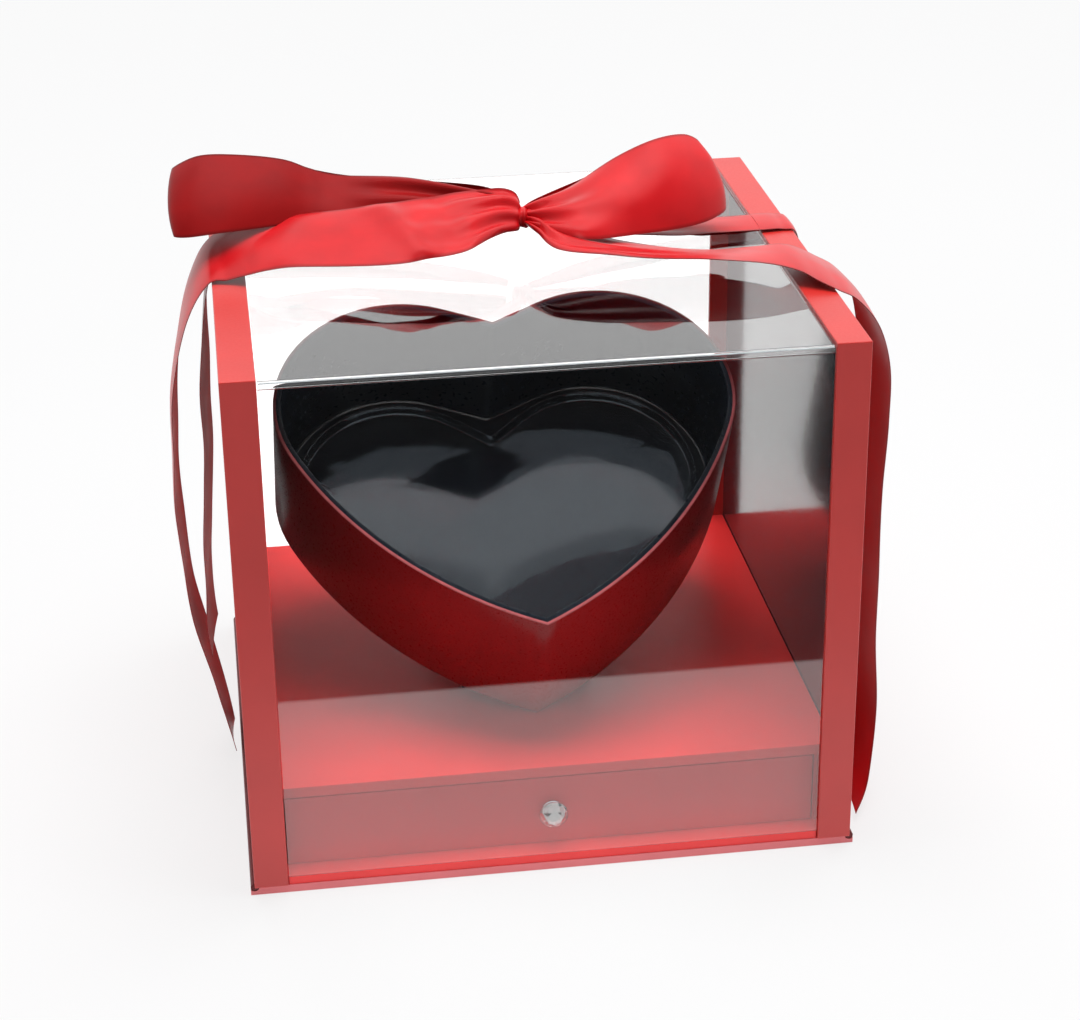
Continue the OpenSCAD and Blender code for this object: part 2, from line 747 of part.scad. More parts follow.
module right_strap_side() {
    ribbon(concat(over_cap(1, 0.18, 0.56, [0, 0, 0]), down_side(1, right_bulge, right_strap_side_shares)));
}

module right_tail_side() {
    ribbon(concat(over_cap(1, -0.36, 0.84, [0.52, 0.26, 0.05]),
                  down_side(1, right_bulge, right_tail_side_shares)));
}

base_sheet();
base_board();
left_cheek();
right_cheek();
case_back_wall();
platform_board();
heart_wall();
heart_lining();
heart_floor();
stand_panel();
stand_gussets();
window_top();
window_rear();
window_front();
liner();
drawer_front();
drawer_bottom();
drawer_left_wall();
drawer_right_wall();
drawer_back_wall();
drawer_lining();
knob_crystal();
knob_collar();
knob_screw();
knob_nut();
left_side_board();
left_rim();
left_lining();
left_hinge_roll();
right_side_board();
right_rim();
right_lining();
right_hinge_roll();
bow_knot();
bow_left_loop();
bow_right_loop();
left_strap_top();
left_tail_top();
right_strap_top();
right_tail_top();
left_strap_side();
left_tail_side();
right_strap_side();
right_tail_side();
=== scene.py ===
import math

import bmesh
import bpy
from mathutils import Matrix, Vector, noise


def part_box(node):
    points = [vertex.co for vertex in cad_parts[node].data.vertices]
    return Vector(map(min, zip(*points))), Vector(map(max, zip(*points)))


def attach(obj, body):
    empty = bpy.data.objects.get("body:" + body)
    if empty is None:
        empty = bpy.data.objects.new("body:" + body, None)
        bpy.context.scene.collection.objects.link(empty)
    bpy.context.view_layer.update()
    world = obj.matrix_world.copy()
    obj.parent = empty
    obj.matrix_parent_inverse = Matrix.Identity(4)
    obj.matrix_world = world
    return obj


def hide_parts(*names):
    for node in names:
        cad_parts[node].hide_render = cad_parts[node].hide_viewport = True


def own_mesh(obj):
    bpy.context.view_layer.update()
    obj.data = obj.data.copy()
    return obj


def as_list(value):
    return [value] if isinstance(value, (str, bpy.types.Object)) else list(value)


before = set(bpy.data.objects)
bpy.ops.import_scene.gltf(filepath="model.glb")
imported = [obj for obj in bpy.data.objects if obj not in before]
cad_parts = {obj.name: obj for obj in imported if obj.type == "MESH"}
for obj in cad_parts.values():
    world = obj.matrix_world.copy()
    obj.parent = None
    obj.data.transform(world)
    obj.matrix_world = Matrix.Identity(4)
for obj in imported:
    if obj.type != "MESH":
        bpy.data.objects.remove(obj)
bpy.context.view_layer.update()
print("frame loaded:", len(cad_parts), "nodes")


def srgb(red, green, blue):
    def linear(value):
        value = value / 255
        return value / 12.92 if value <= 0.04045 else ((value + 0.055) / 1.055) ** 2.4

    return (linear(red), linear(green), linear(blue), 1.0)


def scaled(colour, share):
    return (colour[0] * share, colour[1] * share, colour[2] * share, 1.0)


def millimetres(point):
    return Vector(point) * 0.001


# Materials


def startMaterial(name):
    material = bpy.data.materials.new(name)
    material.use_nodes = True
    nodes, links = material.node_tree.nodes, material.node_tree.links
    nodes.clear()
    output = nodes.new("ShaderNodeOutputMaterial")
    shader = nodes.new("ShaderNodeBsdfPrincipled")
    links.new(shader.outputs[0], output.inputs["Surface"])
    return material, nodes, links, shader, output


def addNoise(nodes, links, coordinate, scale, detail, stretch=None):
    texture = nodes.new("ShaderNodeTexNoise")
    texture.inputs["Scale"].default_value = scale
    texture.inputs["Detail"].default_value = detail
    if stretch is not None:
        mapping = nodes.new("ShaderNodeMapping")
        mapping.inputs["Scale"].default_value = stretch
        links.new(coordinate, mapping.inputs["Vector"])
        coordinate = mapping.outputs[0]
    links.new(coordinate, texture.inputs["Vector"])
    return texture.outputs["Fac"]


def mixColours(nodes, links, factor, first, second):
    mix = nodes.new("ShaderNodeMix")
    mix.data_type = "RGBA"
    mix.inputs["A"].default_value = first
    mix.inputs["B"].default_value = second
    links.new(factor, mix.inputs["Factor"])
    return mix.outputs["Result"]


def mapRange(nodes, links, value, fromLow, fromHigh, toLow, toHigh):
    node = nodes.new("ShaderNodeMapRange")
    numbers = {"From Min": fromLow, "From Max": fromHigh, "To Min": toLow, "To Max": toHigh}
    for name, number in numbers.items():
        node.inputs[name].default_value = number
    links.new(value, node.inputs["Value"])
    return node.outputs["Result"]


def addBump(nodes, links, shader, height, distance, strength):
    bump = nodes.new("ShaderNodeBump")
    bump.inputs["Distance"].default_value = distance
    bump.inputs["Strength"].default_value = strength
    links.new(height, bump.inputs["Height"])
    links.new(bump.outputs["Normal"], shader.inputs["Normal"])


def paperMaterial(name, look):
    material, nodes, links, shader, output = startMaterial(name)
    objectCoordinate = nodes.new("ShaderNodeTexCoord").outputs["Object"]
    mottle = addNoise(nodes, links, objectCoordinate, look["mottleScale"], 5)
    mottle = mapRange(nodes, links, mottle, 0.3, 0.7, 0, 1)
    colour = mixColours(nodes, links, mottle, scaled(look["colour"], 1 - look["mottle"]),
                        scaled(look["colour"], 1 + look["mottle"]))
    # Painted shade: above a given height the colour turns darker
    if "paintedShade" in look:
        split = nodes.new("ShaderNodeSeparateXYZ")
        links.new(objectCoordinate, split.inputs[0])
        paintedShade = nodes.new("ShaderNodeMix")
        paintedShade.data_type = "RGBA"
        paintedShade.inputs["B"].default_value = look["paintedShade"]["colour"]
        height = mapRange(nodes, links, split.outputs["Z"], look["paintedShade"]["from"], look["paintedShade"]["to"], 0, 1)
        links.new(height, paintedShade.inputs["Factor"])
        links.new(colour, paintedShade.inputs["A"])
        colour = paintedShade.outputs["Result"]
    links.new(colour, shader.inputs["Base Color"])
    grain = addNoise(nodes, links, objectCoordinate, look["grainScale"], 3)
    rough = mapRange(nodes, links, grain, 0.2, 0.8, look["roughness"] - 0.06, look["roughness"] + 0.06)
    links.new(rough, shader.inputs["Roughness"])
    addBump(nodes, links, shader, grain, look["grainDepth"], look["grainStrength"])
    shader.inputs["Specular IOR Level"].default_value = look["specular"]
    shader.inputs["Coat Weight"].default_value = look.get("coat", 0.0)
    shader.inputs["Coat Roughness"].default_value = look.get("coatRoughness", 0.25)
    return material


def clothMaterial(name, look):
    material, nodes, links, shader, output = startMaterial(name)
    objectCoordinate = nodes.new("ShaderNodeTexCoord").outputs["Object"]
    heights = []
    for direction in ("X", "Y"):
        wave = nodes.new("ShaderNodeTexWave")
        wave.bands_direction = direction
        wave.inputs["Scale"].default_value = look["threads"]
        wave.inputs["Distortion"].default_value = look["wobble"]
        links.new(objectCoordinate, wave.inputs["Vector"])
        heights.append(wave.outputs["Fac"])
    weave = nodes.new("ShaderNodeMath")
    weave.operation = "MULTIPLY"
    links.new(heights[0], weave.inputs[0])
    links.new(heights[1], weave.inputs[1])
    colour = mixColours(nodes, links, weave.outputs[0], scaled(look["colour"], 0.6), look["colour"])
    links.new(colour, shader.inputs["Base Color"])
    addBump(nodes, links, shader, weave.outputs[0], look["threadDepth"], look["threadStrength"])
    shader.inputs["Roughness"].default_value = look["roughness"]
    shader.inputs["Sheen Weight"].default_value = look["sheen"]
    return material


def satinMaterial(name, look):
    material, nodes, links, shader, output = startMaterial(name)
    mapNode = nodes.new("ShaderNodeUVMap")
    mapNode.uv_map = "ribbon"
    split = nodes.new("ShaderNodeSeparateXYZ")
    links.new(mapNode.outputs[0], split.inputs[0])
    stretch = (look["streaks"], look["streaks"] * 0.04, 1)
    streak = addNoise(nodes, links, mapNode.outputs[0], 1.0, 4, stretch)
    streak = mapRange(nodes, links, streak, 0.3, 0.7, 0, 1)
    colour = mixColours(nodes, links, streak, scaled(look["colour"], 0.86), scaled(look["colour"], 1.1))
    edge = nodes.new("ShaderNodeMath")
    edge.operation = "PINGPONG"
    edge.inputs[1].default_value = 0.5
    links.new(split.outputs["Y"], edge.inputs[0])
    selvedge = mapRange(nodes, links, edge.outputs[0], 0.012, 0.04, 1, 0)
    darker = nodes.new("ShaderNodeMix")
    darker.data_type = "RGBA"
    darker.inputs["B"].default_value = scaled(look["colour"], 0.55)
    links.new(colour, darker.inputs["A"])
    links.new(selvedge, darker.inputs["Factor"])
    links.new(darker.outputs["Result"], shader.inputs["Base Color"])
    height = nodes.new("ShaderNodeMath")
    height.operation = "ADD"
    stretch = (look["threads"], look["threads"] * 0.02, 1)
    links.new(addNoise(nodes, links, mapNode.outputs[0], 1.0, 2, stretch), height.inputs[0])
    links.new(selvedge, height.inputs[1])
    addBump(nodes, links, shader, height.outputs[0], 0.00003, 0.25)
    rough = mapRange(nodes, links, streak, 0, 1, look["roughness"] - 0.05, look["roughness"] + 0.05)
    links.new(rough, shader.inputs["Roughness"])
    tangent = nodes.new("ShaderNodeTangent")
    tangent.direction_type = "UV_MAP"
    tangent.uv_map = "ribbon"
    links.new(tangent.outputs[0], shader.inputs["Tangent"])
    shader.inputs["Anisotropic"].default_value = look["anisotropic"]
    shader.inputs["Specular IOR Level"].default_value = look["specular"]
    shader.inputs["Specular Tint"].default_value = look["tint"]
    return material


def clearMaterial(name, look):
    material, nodes, links, shader, output = startMaterial(name)
    shader.inputs["Base Color"].default_value = look["colour"]
    shader.inputs["Specular Tint"].default_value = look.get("tint", (1, 1, 1, 1))
    shader.inputs["Transmission Weight"].default_value = 1.0
    shader.inputs["IOR"].default_value = look["ior"]
    shader.inputs["Metallic"].default_value = look.get("foil", 0.0)
    objectCoordinate = nodes.new("ShaderNodeTexCoord").outputs["Object"]
    haze = addNoise(nodes, links, objectCoordinate, look["hazeScale"], 4)
    rough = mapRange(nodes, links, haze, 0.35, 0.75, look["roughness"], look["roughness"] + look["haze"])
    links.new(rough, shader.inputs["Roughness"])
    ripple = addNoise(nodes, links, objectCoordinate, look["rippleScale"], 1)
    addBump(nodes, links, shader, ripple, look["rippleDepth"], look["ripple"])
    through = nodes.new("ShaderNodeBsdfTransparent")
    through.inputs["Color"].default_value = look["shadow"]
    lightPath = nodes.new("ShaderNodeLightPath")
    mix = nodes.new("ShaderNodeMixShader")
    links.new(lightPath.outputs["Is Shadow Ray"], mix.inputs["Fac"])
    links.new(shader.outputs[0], mix.inputs[1])
    links.new(through.outputs[0], mix.inputs[2])
    links.new(mix.outputs[0], output.inputs["Surface"])
    return material


def metalMaterial(name, look):
    material, nodes, links, shader, output = startMaterial(name)
    shader.inputs["Metallic"].default_value = 1.0
    objectCoordinate = nodes.new("ShaderNodeTexCoord").outputs["Object"]
    smudge = addNoise(nodes, links, objectCoordinate, look["smudgeScale"], 4)
    colour = mixColours(nodes, links, smudge, scaled(look["colour"], 0.85), look["colour"])
    links.new(colour, shader.inputs["Base Color"])
    rough = mapRange(nodes, links, smudge, 0.3, 0.7, look["roughness"], look["roughness"] * 2)
    links.new(rough, shader.inputs["Roughness"])
    return material


looks = {
    # The caps' red paper painted lighter, as painted light for the platform, base board and heart floor
    "redPaperLit": {"colour": srgb(242, 54, 54), "mottle": 0.05, "mottleScale": 40, "grainScale": 900,
                 "grainDepth": 0.00004, "grainStrength": 0.25, "roughness": 0.42, "specular": 0.5},
    "capPaper": {"colour": srgb(192, 40, 35), "mottle": 0.05, "mottleScale": 35, "grainScale": 900,
                 "grainDepth": 0.00004, "grainStrength": 0.25, "roughness": 0.4, "specular": 0.5,
                 "coat": 0.45, "coatRoughness": 0.35},
    # The same red paper painted pink, as a painted highlight on the base sheet's lit front edge
    "basePaperLit": {"colour": srgb(226, 117, 121), "mottle": 0.05, "mottleScale": 40, "grainScale": 900,
                  "grainDepth": 0.00004, "grainStrength": 0.25, "roughness": 0.45, "specular": 0.5},
    # The same red paper painted lighter, as painted light for the drawer and case behind the front pane
    "drawerPaperLit": {"colour": srgb(222, 42, 46), "mottle": 0.05, "mottleScale": 35, "grainScale": 900,
                    "grainDepth": 0.00004, "grainStrength": 0.25, "roughness": 0.42, "specular": 0.5},
    "heartPaper": {"colour": srgb(180, 22, 26), "mottle": 0.04, "mottleScale": 30, "grainScale": 1100,
                   "grainDepth": 0.00003, "grainStrength": 0.2, "roughness": 0.3, "specular": 0.5,
                   "coat": 0.3, "coatRoughness": 0.2},
    # The rim is pale paper edge; its darkening towards the high rear of the heart is painted shade
    "rimEdge": {"colour": srgb(205, 105, 108), "mottle": 0.12, "mottleScale": 260, "grainScale": 1400,
                "grainDepth": 0.00005, "grainStrength": 0.4, "roughness": 0.6, "specular": 0.4,
                "paintedShade": {"colour": srgb(96, 34, 38), "from": 0.134, "to": 0.146}},
    # The black linings carry a blue-grey cast painted in, as painted light for the bluish sheen on their
    # gloss
    "blackGloss": {"colour": srgb(20, 26, 34), "mottle": 0.1, "mottleScale": 60, "grainScale": 500,
                   "grainDepth": 0.00001, "grainStrength": 0.1, "roughness": 0.12, "specular": 0.6,
                   "coat": 0.5, "coatRoughness": 0.06},
    "sideLining": {"colour": srgb(20, 26, 34), "mottle": 0.1, "mottleScale": 60, "grainScale": 500,
                   "grainDepth": 0.00001, "grainStrength": 0.1, "roughness": 0.14, "specular": 0.28,
                   "coat": 0.2, "coatRoughness": 0.08},
    "liningWall": {"colour": srgb(22, 29, 38), "mottle": 0.1, "mottleScale": 60, "grainScale": 500,
                   "grainDepth": 0.00001, "grainStrength": 0.1, "roughness": 0.3, "specular": 0.25},
    "blackCard": {"colour": srgb(22, 20, 22), "mottle": 0.12, "mottleScale": 60, "grainScale": 1100,
                  "grainDepth": 0.00005, "grainStrength": 0.4, "roughness": 0.55, "specular": 0.4},
    "hingeCloth": {"colour": srgb(120, 18, 24), "threads": 700, "roughness": 0.8, "wobble": 0.4,
                   "threadDepth": 0.0001, "threadStrength": 0.6, "sheen": 0.3},
    "satin": {"colour": srgb(190, 14, 22), "streaks": 55, "threads": 600, "roughness": 0.32,
              "anisotropic": 0.5, "specular": 0.8, "tint": (1.0, 0.5, 0.5, 1.0)},
    # The satin painted darker with duller gloss: the darker colour is painted shade for the left loop
    "satinShaded": {"colour": srgb(132, 8, 10), "streaks": 55, "threads": 600, "roughness": 0.42,
                  "anisotropic": 0.3, "specular": 0.3, "tint": (1.0, 0.5, 0.5, 1.0)},
    "clearSheet": {"colour": (1, 1, 1, 1), "ior": 1.8, "roughness": 0.0, "haze": 0.02, "hazeScale": 14,
                   "rippleScale": 9, "rippleDepth": 0.0004, "ripple": 0.03, "shadow": (0.97, 0.97, 0.97, 1)},
    # The tray's blue base colour and blue reflection tint paint a bluish cast into its reflections
    "clearTray": {"colour": (0.95, 0.97, 1, 1), "tint": (0.78, 0.9, 1.0, 1), "ior": 1.5, "roughness": 0.02,
                  "haze": 0.04, "hazeScale": 40, "rippleScale": 60, "rippleDepth": 0.0006, "ripple": 0.12,
                  "shadow": (0.85, 0.87, 0.9, 1)},
    "crystal": {"colour": (0.98, 0.97, 0.97, 1), "ior": 1.9, "roughness": 0.0, "haze": 0.02,
                "hazeScale": 100, "rippleScale": 200, "rippleDepth": 0.0001, "ripple": 0.02,
                "shadow": (0.8, 0.8, 0.85, 1), "foil": 0.4},
    # Painted highlight: a light grey for the bright line along the clear sheet's fold
    "crease": {"colour": srgb(196, 202, 205), "mottle": 0.06, "mottleScale": 300, "grainScale": 1500,
               "grainDepth": 0.00003, "grainStrength": 0.3, "roughness": 0.35, "specular": 0.6},
    "chrome": {"colour": srgb(215, 215, 220), "smudgeScale": 300, "roughness": 0.08},
}
materials = {}
for key, look in looks.items():
    if key.startswith("satin"):
        materials[key] = satinMaterial(key, look)
    elif key == "hingeCloth":
        materials[key] = clothMaterial(key, look)
    elif key == "chrome":
        materials[key] = metalMaterial(key, look)
    elif key in ("clearSheet", "clearTray", "crystal"):
        materials[key] = clearMaterial(key, look)
    else:
        materials[key] = paperMaterial(key, look)
print("materials:", len(materials))

# Mesh helpers


def finishMesh(name, mesh, materialNames, smooth=True):
    piece = bpy.data.objects.new(name, mesh)
    bpy.context.scene.collection.objects.link(piece)
    for materialName in materialNames:
        mesh.materials.append(materials[materialName])
    for polygon in mesh.polygons:
        polygon.use_smooth = smooth and len(polygon.vertices) <= 8
    return piece


def sweepRings(name, rings, materialNames, closed=True, capStart=False, capEnd=False, smooth=True,
               layout=None, loop=False):
    mesh = bpy.data.meshes.new(name)
    bm = bmesh.new()
    previous = [bm.verts.new(point) for point in rings[0]]
    count = len(previous)
    place = {vertex: (0, index) for index, vertex in enumerate(previous)}
    spans = count if closed else count - 1
    edges = [bm.edges.new((previous[i], previous[(i + 1) % count])) for i in range(spans)]
    firstRing, firstEdges = previous, edges
    for step, ring in enumerate(rings[1:], 1):
        made = bmesh.ops.extrude_edge_only(bm, edges=edges)["geom"]
        edges = [item for item in made if isinstance(item, bmesh.types.BMEdge)]
        known = {vertex: index for index, vertex in enumerate(previous)}
        current = [None] * count
        for vertex in (item for item in made if isinstance(item, bmesh.types.BMVert)):
            for edge in vertex.link_edges:
                source = known.get(edge.other_vert(vertex))
                if source is not None:
                    current[source] = vertex
        for index, vertex in enumerate(current):
            vertex.co = ring[index]
            place[vertex] = (step, index)
        ringSet = set(current)
        edges = [edge for edge in edges if edge.verts[0] in ringSet and edge.verts[1] in ringSet]
        previous = current
    if loop:
        bmesh.ops.bridge_loops(bm, edges=edges + firstEdges)
    if capStart:
        bmesh.ops.contextual_create(bm, geom=firstRing)
    if capEnd:
        bmesh.ops.contextual_create(bm, geom=previous)
    if layout:
        uvLayer = bm.loops.layers.uv.new("ribbon")
        for face in bm.faces:
            for corner in face.loops:
                corner[uvLayer].uv = layout(*place[corner.vert])
    bmesh.ops.recalc_face_normals(bm, faces=bm.faces)
    bm.to_mesh(mesh)
    bm.free()
    return finishMesh(name, mesh, materialNames, smooth)


def addBevel(piece, width, segments=2, angle=40):
    bevel = piece.modifiers.new("softEdges", "BEVEL")
    bevel.width = width
    bevel.segments = segments
    bevel.limit_method = "ANGLE"
    bevel.angle_limit = math.radians(angle)
    bevel.offset_type = "OFFSET"
    bevel.affect = "EDGES"
    bevel.profile = 0.5
    bevel.harden_normals = False


def smoothByAngle(piece, angle=35):
    for edge in piece.data.edges:
        edge.use_edge_sharp = False
    piece.data.set_sharp_from_angle(angle=math.radians(angle))


# Heart tray

# Millimetres and degrees: each half is a flank arc that runs into a lobe arc and a straight cleft
heartLook = {"lobeRadius": 50, "lobeAcross": 39, "lobeUp": 105, "flankRadius": 167, "lobeEnd": 114,
             "depth": 60, "tilt": 29, "turn": 1.5, "tip": (0, -57, 38.2), "arcSteps": 26, "wall": 1.1,
             "lining": 3.0, "floor": 3.2}


def halfHeart(inset, lobeEnd):
    across, up = heartLook["lobeAcross"], heartLook["lobeUp"]
    radius, flank, steps = heartLook["lobeRadius"], heartLook["flankRadius"], heartLook["arcSteps"]
    reach = math.hypot(across, up)
    along = (flank**2 - (flank - radius) ** 2 + reach**2) / (2 * reach)
    off = math.sqrt(flank**2 - along**2)
    centreX, centreY = (along * across - off * up) / reach, (along * up + off * across) / reach
    join = math.atan2(up - centreY, across - centreX)
    start = -math.acos(-centreX / (flank - inset))
    last = math.radians(lobeEnd)
    points = []
    for i in range(steps):
        angle = start + (join - start) * i / steps
        points.append((centreX + (flank - inset) * math.cos(angle),
                       centreY + (flank - inset) * math.sin(angle)))
    for i in range(steps + 1):
        angle = join + (last - join) * i / steps
        points.append((across + (radius - inset) * math.cos(angle), up + (radius - inset) * math.sin(angle)))
    run = (across + (radius - inset) * math.cos(last)) / math.sin(last)
    lobe = points[-1]
    cleft = (0, up + (radius - inset) * math.sin(last) + run * math.cos(last))
    for share in (0.35, 0.7, 0.9):
        points.append((lobe[0] + (cleft[0] - lobe[0]) * share, lobe[1] + (cleft[1] - lobe[1]) * share))
    points.append(cleft)
    return points


def heartLoop(inset, lobeEnd=None):
    half = halfHeart(inset, lobeEnd or heartLook["lobeEnd"])
    return half + [(-x, y) for x, y in reversed(half[1:-1])]


heartFrame = (Matrix.Translation(millimetres(heartLook["tip"]))
              @ Matrix.Rotation(math.radians(heartLook["turn"]), 4, "Z")
              @ Matrix.Rotation(math.radians(heartLook["tilt"]), 4, "X"))


def heartRing(inset, height, lobeEnd=None):
    return [heartFrame @ millimetres((x, y, height)) for x, y in heartLoop(inset, lobeEnd)]


depth = heartLook["depth"]
heartBox = sweepRings("heartBox", [
    heartRing(0.5, 0), heartRing(0.12, 0.12), heartRing(0, 0.5), heartRing(0, depth * 0.5),
    heartRing(0, depth - 0.35), heartRing(0.1, depth - 0.1), heartRing(0.35, depth),
    heartRing(heartLook["wall"], depth), heartRing(heartLook["wall"], 0)],
    ["heartPaper", "rimEdge"], loop=True)
for polygon in heartBox.data.polygons:
    local = heartFrame.inverted() @ polygon.center
    if local.z > (depth - 0.3) * 0.001:
        polygon.material_index = 1
smoothByAngle(heartBox, 50)
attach(heartBox, "base")
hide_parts("heart_wall")

wall, lining, floor = heartLook["wall"] + 0.05, heartLook["lining"], heartLook["floor"]
heartLining = sweepRings("heartLining", [
    heartRing(wall, depth - 0.15), heartRing(lining - 0.2, depth - 0.15), heartRing(lining, depth - 0.4),
    heartRing(lining, depth * 0.5), heartRing(lining, floor + 1.2), heartRing(lining + 0.35, floor + 0.35),
    heartRing(lining + 1.2, floor)], ["blackGloss", "liningWall"], capEnd=True)
for polygon in heartLining.data.polygons:
    if (heartFrame.inverted() @ polygon.center).z > (floor + 1) * 0.001:
        polygon.material_index = 1
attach(heartLining, "base")
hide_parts("heart_lining")

trayLook = {"inset": 9, "lobeEnd": 128, "base": 3.45, "height": 4, "wall": 0.35, "draft": 0.6, "bead": 0.5}
inset, low, high = trayLook["inset"], trayLook["base"], trayLook["base"] + trayLook["height"]
thin, end = trayLook["wall"], trayLook["lobeEnd"]
bead, draft = trayLook["bead"], trayLook["draft"]
beadTurns = [math.radians(degrees) for degrees in range(-60, 181, 30)]
beadRings = [heartRing(inset - bead * 0.3 - bead * math.cos(turn), high - bead + bead * math.sin(turn), end)
             for turn in beadTurns]
clearTray = sweepRings("clearTray", [
    heartRing(inset + draft + 1.2, low, end), heartRing(inset + draft + 0.4, low + 0.25, end),
    heartRing(inset + draft, low + 1, end), *beadRings, heartRing(inset + thin + draft, low + 1.2, end),
    heartRing(inset + thin + draft + 0.6, low + thin + 0.1, end),
    heartRing(inset + thin + draft + 1.2, low + thin, end)], ["clearTray"], capStart=True, capEnd=True)
smoothByAngle(clearTray, 60)
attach(clearTray, "liner")
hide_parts("liner")
print("heart tray")

# Side caps

capLook = {"bevel": 0.0004, "segments": 2, "wall": 0.0025, "tolerance": 0.000001}


def buildCap(side):
    name = "left" if side < 0 else "right"
    rimLow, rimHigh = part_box(name + "_rim")
    boardLow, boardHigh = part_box(name + "_side_board")
    inner = rimHigh.x if side < 0 else rimLow.x
    pocket = boardHigh.x if side < 0 else boardLow.x
    outer = boardLow.x if side < 0 else boardHigh.x
    wallThickness, close = capLook["wall"], capLook["tolerance"]
    bm = bmesh.new()
    corners = bmesh.ops.create_cube(bm, size=1)["verts"]
    low = Vector((min(inner, outer), rimLow.y, rimLow.z))
    high = Vector((max(inner, outer), rimHigh.y, rimHigh.z))
    for vertex in corners:
        vertex.co = Vector(((low[k] + high[k]) / 2 + vertex.co[k] * (high[k] - low[k]) for k in range(3)))
    for point, normal in (((0, low.y + wallThickness, 0), (0, 1, 0)),
                          ((0, high.y - wallThickness, 0), (0, 1, 0)),
                          ((0, 0, high.z - wallThickness), (0, 0, 1)), ((pocket, 0, 0), (1, 0, 0))):
        bmesh.ops.bisect_plane(bm, geom=bm.verts[:] + bm.edges[:] + bm.faces[:], plane_co=point,
                               plane_no=normal)
    pocketFaces, bottomFaces = [], []
    for face in bm.faces:
        middle = face.calc_center_median()
        within = low.y + wallThickness < middle.y < high.y - wallThickness
        if abs(middle.x - inner) < close and within and middle.z < high.z - wallThickness:
            pocketFaces.append(face)
        if abs(middle.z - low.z) < close and within and (middle.x - pocket) * side < 0:
            bottomFaces.append(face)
    extruded = bmesh.ops.extrude_face_region(bm, geom=pocketFaces)["geom"]
    bmesh.ops.translate(bm, verts=[v for v in extruded if isinstance(v, bmesh.types.BMVert)],
                        vec=(pocket - inner, 0, 0))
    bmesh.ops.delete(bm, geom=pocketFaces + bottomFaces, context="FACES_ONLY")
    bmesh.ops.delete(bm, geom=[face for face in bm.faces if abs(face.calc_center_median().z - low.z) < close
                               and (face.calc_center_median().x - pocket) * side < -close
                               and low.y + wallThickness < face.calc_center_median().y
                               < high.y - wallThickness], context="FACES")
    bmesh.ops.remove_doubles(bm, verts=bm.verts, dist=close)
    bmesh.ops.dissolve_limit(bm, angle_limit=0.01, verts=bm.verts, edges=bm.edges)
    bmesh.ops.recalc_face_normals(bm, faces=bm.faces)
    mesh = bpy.data.meshes.new(name + "Cap")
    bm.to_mesh(mesh)
    bm.free()
    piece = finishMesh(name + "Cap", mesh, ["capPaper"], smooth=False)
    addBevel(piece, capLook["bevel"], capLook["segments"])
    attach(piece, name + "_cap")
    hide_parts(name + "_side_board", name + "_rim")


for side in (-1, 1):
    buildCap(side)
print("side caps")

# Knob

knobLook = {"sides": 8, "girdle": 5.35}
collarLow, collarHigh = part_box("knob_collar")
crystalLow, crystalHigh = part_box("knob_crystal")
knobCentre = Vector(((collarLow.x + collarHigh.x) / 2, 0, (collarLow.z + collarHigh.z) / 2))


def knobRing(radius, y, turn, sides):
    return [Vector((knobCentre.x + radius * math.cos(2 * math.pi * (i + turn) / sides), y,
                    knobCentre.z + radius * math.sin(2 * math.pi * (i + turn) / sides)))
            for i in range(sides)]


bm = bmesh.new()
girdle, sides = knobLook["girdle"] * 0.001, knobLook["sides"]
back, front = crystalHigh.y, crystalLow.y
length = back - front
# Each ring of corners: share of the girdle, share of the length, turn in facets, number of corners
for radius, share, turn, count in (
        (0.62, 0.0, 0, sides), (0.86, 0.18, 0.5, sides), (1.0, 0.40, 0.25, 2 * sides),
        (1.0, 0.50, 0.25, 2 * sides), (0.86, 0.72, 0.5, sides), (0.62, 0.93, 0, sides),
        (0.5, 1.0, 0.5, sides)):
    for point in knobRing(girdle * radius, back - length * share, turn, count):
        bm.verts.new(point)
bmesh.ops.convex_hull(bm, input=bm.verts)
bmesh.ops.dissolve_limit(bm, angle_limit=0.02, verts=bm.verts, edges=bm.edges)
bmesh.ops.recalc_face_normals(bm, faces=bm.faces)
mesh = bpy.data.meshes.new("crystalKnob")
bm.to_mesh(mesh)
bm.free()
crystalKnob = finishMesh("crystalKnob", mesh, ["crystal"], smooth=False)
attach(crystalKnob, "drawer")
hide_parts("knob_crystal")
collarRadius = (collarHigh.x - collarLow.x) / 2
collarRings = [knobRing(radius * collarRadius, collarHigh.y + (collarLow.y - collarHigh.y) * share, 0, 40)
               for radius, share in ((0.97, 0), (1, 0.15), (1, 0.45), (0.94, 0.6), (0.8, 0.7), (0.72, 0.85),
                                     (0.7, 1.0))]
knobCollar = sweepRings("knobCollar", collarRings, ["chrome"], capStart=True, capEnd=True)
smoothByAngle(knobCollar, 40)
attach(knobCollar, "drawer")
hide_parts("knob_collar")
print("knob")

# Ribbon

ribbonLook = {"width": 0.036, "thickness": 0.00025, "steps": 9, "across": 24, "swell": 0.0006,
              "swellScale": 40, "calmEnds": 0.012, "layerGap": 0.0011, "pressed": 0.09}


def curvePoint(points, t):
    last = len(points) - 1
    index = min(int(t), last - 1)
    f = t - index
    a, b, c, d = (points[min(max(index + k, 0), last)] for k in (-1, 0, 1, 2))
    return 0.5 * (2 * b + (c - a) * f + (2 * a - 5 * b + 4 * c - d) * f * f + (3 * b - a - 3 * c + d) * f**3)


